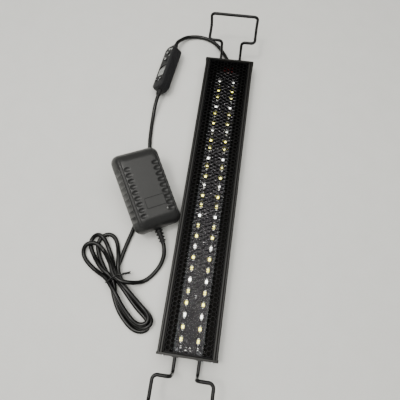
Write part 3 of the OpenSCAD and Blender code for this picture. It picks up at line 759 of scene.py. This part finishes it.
def controller_ring(inset, z):
    """Outline of the controller with its corners cut and each cut rounded off."""
    w, l = CONTROLLER_SIZE[0] / 2 - inset, CONTROLLER_SIZE[1] / 2 - inset
    c = 4 - 0.6 * inset
    corners = [(w, -l + c), (w, l - c), (w - c, l), (-w + c, l), (-w, l - c), (-w, -l + c),
               (-w + c, -l), (w - c, -l)]
    points = []
    for k, corner in enumerate(corners):
        here, before, after = (Vector(corners[(k + d) % 8]) for d in (0, -1, 1))
        start = here + (before - here).normalized() * 1.3
        end = here + (after - here).normalized() * 1.3
        for f in (0, 0.25, 0.5, 0.75, 1):
            point = start.lerp(here, f).lerp(here.lerp(end, f), f)
            points.append((point.x, point.y, z))
    return points


def controller_half(way, face_holes):
    """Half of the case, from the seam to a rounded edge; holes are sunk into its face."""
    mesh = bmesh.new()
    height, bend = CONTROLLER_SIZE[2] / 2, 1.8
    rows = [(0.35, 0.06), (0, 0.35), (0, height - bend)]
    rows += [(bend * (1 - math.cos(a)), height - bend + bend * math.sin(a))
             for a in (math.pi / 10 * k for k in range(1, 6))]
    loops = skin(mesh, [controller_ring(inset, way * z) for inset, z in rows], True, not face_holes)
    if face_holes:
        edges = [mesh.edges.get((loops[-1][k - 1], loops[-1][k])) for k in range(len(loops[-1]))]
        for ring, depth in face_holes:
            top = [mesh.verts.new((*p[:2], way * height)) for p in ring]
            bottom = [mesh.verts.new((*p[:2], way * (height - depth))) for p in ring]
            for k in range(len(top)):
                mesh.faces.new((top[k - 1], top[k], bottom[k], bottom[k - 1]))
                edges.append(mesh.edges.get((top[k - 1], top[k])))
            mesh.faces.new(bottom)
        bmesh.ops.triangle_fill(mesh, use_beauty=True, edges=edges)
    return mesh


def make_display(glass, lit):
    """Dark glass in the window, the lit part of the display and the digits on it."""
    x, y, width, length = WINDOW
    top = CONTROLLER_SIZE[2] / 2 - 0.1
    mesh = bmesh.new()
    skin(mesh, [rounded_ring(width - s, length - s, 0.8, top + z, (x, y), (1, 1, 4))
                for s, z in ((0.1, -0.7), (0.1, -0.12), (0.4, 0))])
    skin(mesh, [rounded_ring(9.4, 9.0, 0.4, top + z, (x, y - 1.8), (1, 1, 2)) for z in (0.01, 0.02)],
         first_cap=False, material=1)
    strokes = [stroke for k, digit in enumerate(("abged", "fgbc"))
               for stroke in seven_segments(digit, x - 2.1 + 4.2 * k, y - 2.2, 2.4, 4.4)]
    strokes += [[(x + bar - 0.5, y + 1.5), (x + bar + 0.5, y + 1.5)]
                for bar in (-3.6, -1.8, 0, 1.8, 3.6)]
    ribbons(mesh, strokes, 0.5, top + 0.03, 0)
    finish_piece(to_object("controller_display_glass", mesh, CONTROLLER), "root",
                 [glass, lit], ["controller_window"])


def seven_segments(segments, x, y, width, height):
    """Strokes of one digit, named as on a seven-segment display."""
    w, h = width / 2, height / 2
    strokes = {"a": [(-w, h), (w, h)], "b": [(w, h), (w, 0)], "c": [(w, 0), (w, -h)],
               "d": [(-w, -h), (w, -h)], "e": [(-w, 0), (-w, -h)], "f": [(-w, h), (-w, 0)],
               "g": [(-w, 0), (w, 0)]}
    return [[(x + px, y + py) for px, py in strokes[s]] for s in segments]


def make_controller(case, button_skin, print_white, glass, lit):
    """The controller's pieces; gives back the two halves of its case."""
    top = CONTROLLER_SIZE[2] / 2
    x, y, width, length = WINDOW
    holes = [(rounded_ring(width, length, 0.9, 0, (x, y), (1, 1, 4)), 0.86)]
    holes += [(circle(bx, by, d / 2 + 0.15, 0, 24), 1.2) for bx, by, d in BUTTONS.values()]
    mesh = controller_half(1, holes)
    # raised lip round the window, and printed signs beside the buttons
    skin(mesh, [rounded_ring(width + g, length + g, 0.9 + g / 2, top + z, (x, y), (1, 1, 4))
                for g, z in ((1.1, -0.02), (0.9, 0.16), (0.35, 0.16), (0.1, -0.02))], False, False)
    for kind, sx, sy, size in (("sun", 0.3, 23.6, 1.2), ("power", 4.4, 22.6, 0.8),
                               ("plus", 3.9, 13.7, 0.8), ("minus", -4.2, 13.9, 0.8),
                               ("minus", 0, -18.6, 0.8)):
        ribbons(mesh, icon(kind, sx, sy, size), 0.5, top + 0.02)
    shell = finish_piece(to_object("controller_shell_top", mesh, CONTROLLER), "root",
                         [case, print_white], ["controller_top"])
    make_display(glass, lit)
    lower = finish_piece(to_object("controller_shell_bottom", controller_half(-1, []), CONTROLLER),
                         "root", [case], ["controller_bottom"])
    for name, (bx, by, d) in BUTTONS.items():
        mesh = bmesh.new()
        r = d / 2
        rows = [(r, -1.2), (r, 0.45), (r - 0.08, 0.68), (r - 0.3, 0.85), (r - 0.6, 0.9),
                (r * 0.45, 0.8)]
        skin(mesh, [circle(bx, by, radius, top + z, 32) for radius, z in rows])
        kind = {"power": "power", "mode": "sun"}.get(name, name)
        ribbons(mesh, icon(kind, bx, by, r * 0.5), 0.5, top + 0.93)
        finish_piece(to_object(f"button_cap_{name}", mesh, CONTROLLER), f"{name}_button",
                     [button_skin, print_white], [f"button_{name}"])
    return [shell, lower]


# ---- power adapter ----

def smooth_step(value, low, high):
    f = min(max((value - low) / (high - low), 0), 1)
    return f * f * (3 - 2 * f)


def adapter_rows(profile, steps):
    """Rows from the seam to the middle of a face, evenly spaced along the profile's length."""
    profile = np.array(profile, float)
    run = np.r_[0, np.cumsum(np.linalg.norm(np.diff(profile, axis=0), axis=1))]
    even = np.linspace(0, run[-1], steps)
    return [[np.interp(s, run, column) for column in profile.T] for s in even]


def adapter_surface(rows, way):
    """Rounded block with hollow flutes down its long sides and, on top, a scoop at each."""
    half_w = ADAPTER_SIZE[0] / 2
    reach = FLUTES * FLUTE_PITCH / 2
    flute_depth, groove_depth, scoop_depth = 1.15, 0.75, 1.15
    groove_in, scoop_in = 5.2, 9.3  # how far in from the side each lies
    groove_half, scoop_half_w, scoop_half_l = 0.6, 3.3, 2.0
    rings = []
    for z, inset, end_inset in rows:
        corner = max(ADAPTER_CORNER - 0.6 * inset, 1.5)
        ring = rounded_ring(ADAPTER_SIZE[0] - 2 * inset, ADAPTER_SIZE[1] - 2 * end_inset, corner, 0,
                            counts=(128, 14, 8))
        shaped = []
        for x, y, _ in ring:
            height = z
            side = 1 if x > 0 else -1
            along = y - FLUTE_Y
            if abs(along) < reach and abs(x) > half_w - inset - 0.01:
                hollow = abs(math.cos(math.pi * along / FLUTE_PITCH)) ** 0.8
                fade = 1 - (smooth_step(z, 8.8, 10.6) if way > 0 else smooth_step(-z, 3, 8))
                x -= side * flute_depth * hollow * fade
            if way > 0:
                edge = 1 - smooth_step(abs(y), 30, 34)
                off_groove = (half_w - abs(x) - groove_in) / groove_half
                height -= groove_depth * edge * math.exp(-off_groove ** 2)
                if abs(along) < reach:
                    off = (along + FLUTE_PITCH / 2) % FLUTE_PITCH - FLUTE_PITCH / 2
                    off_scoop = (half_w - abs(x) - scoop_in) / scoop_half_w
                    bowl = 1 - off_scoop ** 2 - (off / scoop_half_l) ** 2
                    height -= scoop_depth * max(bowl, 0) ** 0.8
            shaped.append((x, y, height))
        rings.append(shaped)
    return rings


def make_adapter(case, groove, clear):
    """The adapter's case, label plate and indicator lens; gives back the two halves of its case."""
    halves = []
    for part, way, profile, steps in (("top", 1, UPPER_PROFILE, 58),
                                      ("bottom", -1, LOWER_PROFILE, 30)):
        mesh = bmesh.new()
        skin(mesh, adapter_surface(adapter_rows(profile, steps), way), first_cap=False)
        half = to_object(f"adapter_shell_{part}", mesh, ADAPTER, sharp=50)
        modify(half, "SOLIDIFY", thickness=SHELL * MM, offset=-1)
        halves.append(finish_piece(half, "root", [case], [f"adapter_case_{part}"]))

    def label_rings(rows):
        x, y, width, length = LABEL
        return [rounded_ring(width + g, length + g, 0.8 + g / 2, ADAPTER_TOP + z, (x, y), (1, 1, 4))
                for g, z in rows]
    mesh = bmesh.new()
    skin(mesh, label_rings([(0.7, -0.3), (0.7, 0.02), (-0.5, 0.02)]), False, False, material=1)
    skin(mesh, label_rings([(-0.5, -0.3), (-0.5, 0.03), (-0.7, 0.08)]), first_cap=False)
    finish_piece(to_object("adapter_label_plate", mesh, ADAPTER, sharp=20), "root",
                 [case, groove], ["adapter_label"])
    x, y, radius = INDICATOR
    mesh = bmesh.new()
    skin(mesh, [circle(x, y, radius * math.cos(a), ADAPTER_TOP - 0.1 + 0.7 * math.sin(a), 20)
                for a in (math.pi / 12 * k for k in range(6))], first_cap=False)
    finish_piece(to_object("adapter_lamp", mesh, ADAPTER), "root", [clear])
    return halves


def make_adapter_relief(material):
    """Tapered sleeve with four thick ribs, cut off square behind each."""
    exit_at = Matrix.Translation((-1 * MM, -38 * MM, -3.4 * MM))
    outward = Matrix.Rotation(math.radians(90), 4, "X")
    rows = [(3.4, -2.5), (3.4, 0.6), (2.5, 0.7)]
    for k in range(4):
        start, reach, core = 1.2 + 3.2 * k, 3.75 - 0.2 * k, 2.5 - 0.12 * k
        rows += [(core, start), (reach - 0.25, start + 0.05), (reach, start + 0.3),
                 (reach, start + 1.35), (reach - 0.25, start + 1.6), (core - 0.05, start + 1.65)]
    rows += [(2.25, 13.9), (2.05, 14)]
    mesh = bmesh.new()
    skin(mesh, [circle(0, 0, radius, z, 40) for radius, z in rows])
    return finish_piece(to_object("adapter_relief_ribbed", mesh, ADAPTER @ exit_at @ outward),
                        "root", [material], ["adapter_relief"])


def soften(name, width, material):
    """Piece that stands for a CAD node, with that node's shape and its sharp edges rounded."""
    mesh = bmesh.new()
    mesh.from_mesh(frame["nodes"][name].data)
    bmesh.ops.remove_doubles(mesh, verts=mesh.verts, dist=0.004 * MM)
    bmesh.ops.dissolve_limit(mesh, angle_limit=math.radians(1), verts=mesh.verts, edges=mesh.edges)
    data = to_data(f"{name}_rounded", mesh)
    data.set_sharp_from_angle(angle=math.radians(35))
    obj = linked(f"{name}_rounded", data)
    modify(obj, "BEVEL", width=width, segments=2, limit_method="ANGLE",
           angle_limit=math.radians(50), harden_normals=True)
    finish_piece(obj, "root", [material], [name])


def dress_nodes(looks):
    """Gives each CAD node that still shows its material."""
    for material, names in looks:
        for name in names:
            data = frame["nodes"][name].data
            data.materials.clear()
            data.materials.append(material)


# ---- the whole light ----

make_camera()
cord_skin = grained("lead_jacket", (0.003, 0.003, 0.0028), (0.008, 0.008, 0.0075), rough=(0.2, 0.3),
                    grain=0.0005, bump=0.10, blotch=0.01, specular=0.25)
leads = make_leads(cord_skin)
case = grained("case_grain", (0.012, 0.012, 0.0118), (0.022, 0.022, 0.0215), rough=(0.36, 0.46),
               grain=0.00035, bump=0.2, coat=0.1, coat_rough=0.1, specular=0.35)
dark_case = grained("controller_grain", (0.010, 0.010, 0.011), (0.018, 0.018, 0.019),
                    rough=(0.45, 0.55), grain=0.0003, bump=0.2, coat=0.05, coat_rough=0.1,
                    specular=0.15)
rubber = grained("rubber", (0.005, 0.005, 0.005), (0.011, 0.011, 0.011), rough=(0.45, 0.6),
                 specular=0.25)
print_white = grained("print_white", (0.62, 0.63, 0.62), (0.75, 0.76, 0.75), rough=(0.4, 0.5))
glass_black = grained("display_mask", (0.006, 0.006, 0.007), (0.012, 0.012, 0.013), rough=(0.08, 0.15),
                      blotch=0.006)
lit = grained("display_lit", (0.22, 0.23, 0.22), (0.30, 0.31, 0.30), rough=(0.1, 0.2), blotch=0.003)
controller = make_controller(dark_case, rubber, print_white, glass_black, lit)
lamp_clear = grained("indicator_lens", (0.10, 0.10, 0.10), (0.16, 0.16, 0.155), rough=(0.05, 0.1))
adapter = make_adapter(case, rubber, lamp_clear) + [make_adapter_relief(rubber)]
make_studio()

drawn = dict(dark=(0.005, 0.0048, 0.0042), light=(0.012, 0.0115, 0.010), rough=(0.32, 0.44),
             grain=0.0003, bump=0.18, stretch=(1, 40, 1))
anodised = grained("anodised", **drawn, specular=0.24)
extrusion = gloss_above(grained("extrusion", **drawn), RIM_TOP * MM, 0.02, 0.28)
moulded = grained("moulded_black", (0.008, 0.008, 0.0085), (0.016, 0.016, 0.016), rough=(0.35, 0.5))
powder = grained("powder_coat", (0.006, 0.006, 0.0065), (0.013, 0.013, 0.013), rough=(0.2, 0.3),
                 grain=0.0003, bump=0.25, specular=0.2)
steel = grained("steel", (0.45, 0.45, 0.46), (0.65, 0.65, 0.66), rough=(0.2, 0.35), metal=1.0)
black_steel = grained("black_steel", (0.03, 0.03, 0.032), (0.07, 0.07, 0.072), rough=(0.15, 0.3),
                      metal=1.0)
brass = grained("brass", (0.55, 0.42, 0.18), (0.70, 0.55, 0.26), rough=(0.2, 0.32), metal=1.0,
                stretch=(1, 1, 12))
louver_black = grained("louver_gloss", (0.0015, 0.0015, 0.0018), (0.004, 0.004, 0.0045),
                       rough=(0.25, 0.4), grain=0.0008, bump=0.1, blotch=0.004, specular=0.12)
white_body = grained("led_ceramic", (0.70, 0.66, 0.52), (0.85, 0.80, 0.66), rough=(0.35, 0.5))
solder = grained("solder", (0.55, 0.55, 0.53), (0.75, 0.75, 0.73), rough=(0.15, 0.4), metal=1.0)
chip = grained("chip_body", (0.03, 0.02, 0.022), (0.07, 0.04, 0.045), rough=(0.25, 0.4),
               blotch=0.003)
tie_wire = grained("tie_wire", (0.004, 0.004, 0.004), (0.009, 0.009, 0.009), rough=(0.25, 0.35))
make_tie(leads[1][1], tie_wire)
make_louver(louver_black)
# The last number of each fill is the strength of its painted glow; the LEDs are not lit.
make_domes("warm_domes", led_places(False),
           led_fill("phosphor", (1.0, 0.95, 0.42), (0.72, 0.66, 0.03), 6.5),
           "warm_phosphor")
make_domes("white_domes", led_places(True),
           led_fill("clear_fill", (0.97, 0.97, 0.97), (0.8, 0.8, 0.78), 7.5),
           "white_windows")
make_solder_pads(solder)
make_chips(chip, solder)
for name in ("end_plate_near", "end_plate_far"):
    soften(name, EDGE * MM, anodised)
soften("cable_gland", EDGE * MM, rubber)
dress_nodes([
    (extrusion, ["housing"]),
    (anodised, ["back_cover"]),
    (moulded, ["leg_guides_near", "leg_guides_far"]),
    (powder, ["bracket_near", "bracket_far", "stop_rings_near", "stop_rings_far"]),
    (steel, ["cover_screws", "end_plate_screws", "controller_screws"]),
    (black_steel, ["board_screws"]),
    (brass, ["adapter_blades"]),
    (grained("board_green", (0.01, 0.05, 0.02), (0.02, 0.09, 0.04)),
     ["controller_board", "adapter_board"]),
    (grained("winding", (0.45, 0.36, 0.08), (0.6, 0.5, 0.15)),
     ["adapter_transformer", "adapter_capacitor", "controller_display"]),
    (board_mask(), ["led_board"]),
    (clear_acrylic(), ["lens"]),
    (white_body, ["warm_leds", "white_leds"]),
    (rubber, ["controller_relief_light", "controller_relief_supply"]),
    (solder, ["solder_joints"]),
    (grained("wire_red", (0.10, 0.008, 0.008), (0.16, 0.012, 0.010)), ["inner_leads"]),
])
